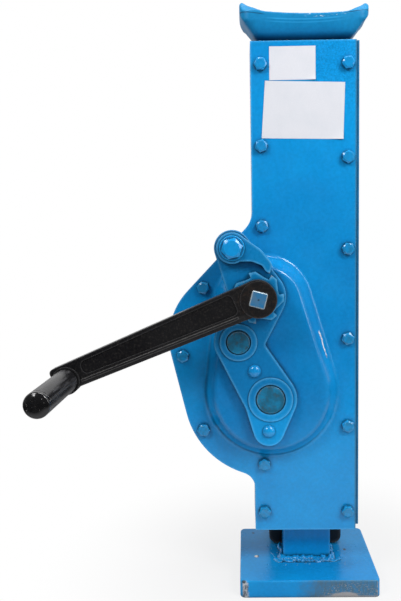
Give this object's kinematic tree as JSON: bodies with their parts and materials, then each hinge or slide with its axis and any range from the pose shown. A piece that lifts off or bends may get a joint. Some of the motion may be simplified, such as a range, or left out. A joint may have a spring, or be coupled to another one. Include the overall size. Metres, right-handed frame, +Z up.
{
  "type": "rack and pinion jack",
  "caption": "Steel rack and pinion jack: a geared housing with horn head and low claw climbs a toothed rack on a foot plate, driven by a crank with ratchet and pawl.",
  "frame": {"origin": "centre of the foot plate's underside", "axes": "+Z up along the rack, -Y towards the crank side, +X to the right seen from the crank side"},
  "size_m": [0.3932, 0.3123, 0.7343],
  "materials": {
    "blue_paint": "semi-gloss paint, chipped at the edges",
    "black_paint": "satin paint, worn at the edges",
    "machined_steel": "oiled machined steel",
    "cast_guide": "cast, machined where the rack runs",
    "bush_brass": "machined bearing bush",
    "grip_steel": "turned steel tube, dark satin"
  },
  "bodies": {
    "base": {"base_plate": "blue_paint", "rack_bar": "machined_steel", "rack_weld": "blue_paint"},
    "housing": {"rear_plate": "blue_paint", "wall_right": "blue_paint", "wall_top": "blue_paint", "wall_bottom": "blue_paint", "wall_left": "blue_paint", "bolt_pillars": "machined_steel", "lower_guide": "cast_guide", "pinion_guide": "cast_guide", "front_cover": "blue_paint", "cover_bolts": "blue_paint", "saddle_head": "blue_paint", "lifting_claw": "black_paint", "claw_bolts": "black_paint", "bearing_bracket": "blue_paint", "bracket_rivets": "blue_paint", "bracket_pillar": "blue_paint", "crank_front_bush": "blue_paint", "crank_rear_bush": "bush_brass", "layshaft_front_bush": "blue_paint", "layshaft_rear_bush": "bush_brass", "pinion_front_bush": "blue_paint", "pinion_rear_bush": "bush_brass", "rear_bearing_plate": "blue_paint", "rear_rivets": "blue_paint", "pawl_washer": "blue_paint", "pawl_bolt": "blue_paint"},
    "crank": {"crank_shaft": "machined_steel", "ratchet_wheel": "blue_paint", "crank_arm": "black_paint", "grip_pin": "black_paint"},
    "grip": {"grip_sleeve": "grip_steel"},
    "layshaft": {"layshaft": "machined_steel", "layshaft_gear": "machined_steel"},
    "pinion": {"pinion_shaft": "machined_steel", "main_gear": "machined_steel"},
    "pawl": {"pawl": "blue_paint"}
  },
  "joints": [
    {"name": "lift", "type": "slide", "parent": "base", "child": "housing", "axis": [0, 0, 1], "range_m": [0, 0.35]},
    {"name": "crank_turn", "type": "hinge", "parent": "housing", "child": "crank", "pos_m": [-0.06142, 0, 0.37855], "axis": [0, 1, 0], "range_deg": [0, 18143]},
    {"name": "layshaft_turn", "type": "hinge", "parent": "housing", "child": "layshaft", "pos_m": [-0.08554, 0, 0.32361], "axis": [0, 1, 0], "continuous": true},
    {"name": "pinion_turn", "type": "hinge", "parent": "housing", "child": "pinion", "pos_m": [-0.04725, 0, 0.2528], "axis": [0, 1, 0], "continuous": true},
    {"name": "pawl_swing", "type": "hinge", "parent": "housing", "child": "pawl", "pos_m": [-0.09162, -0.075, 0.43755], "axis": [0, -1, 0], "range_deg": [0, 45]},
    {"name": "grip_spin", "type": "hinge", "parent": "crank", "child": "grip", "pos_m": [-0.28641, -0.15, 0.28674], "axis": [0, 1, 0], "continuous": true}
  ],
  "couplings": [
    {"joint": "lift", "follows": "crank_turn", "m_per_rad": 0.0011053},
    {"joint": "layshaft_turn", "follows": "crank_turn", "ratio": -0.25},
    {"joint": "pinion_turn", "follows": "crank_turn", "ratio": 0.052632}
  ]
}
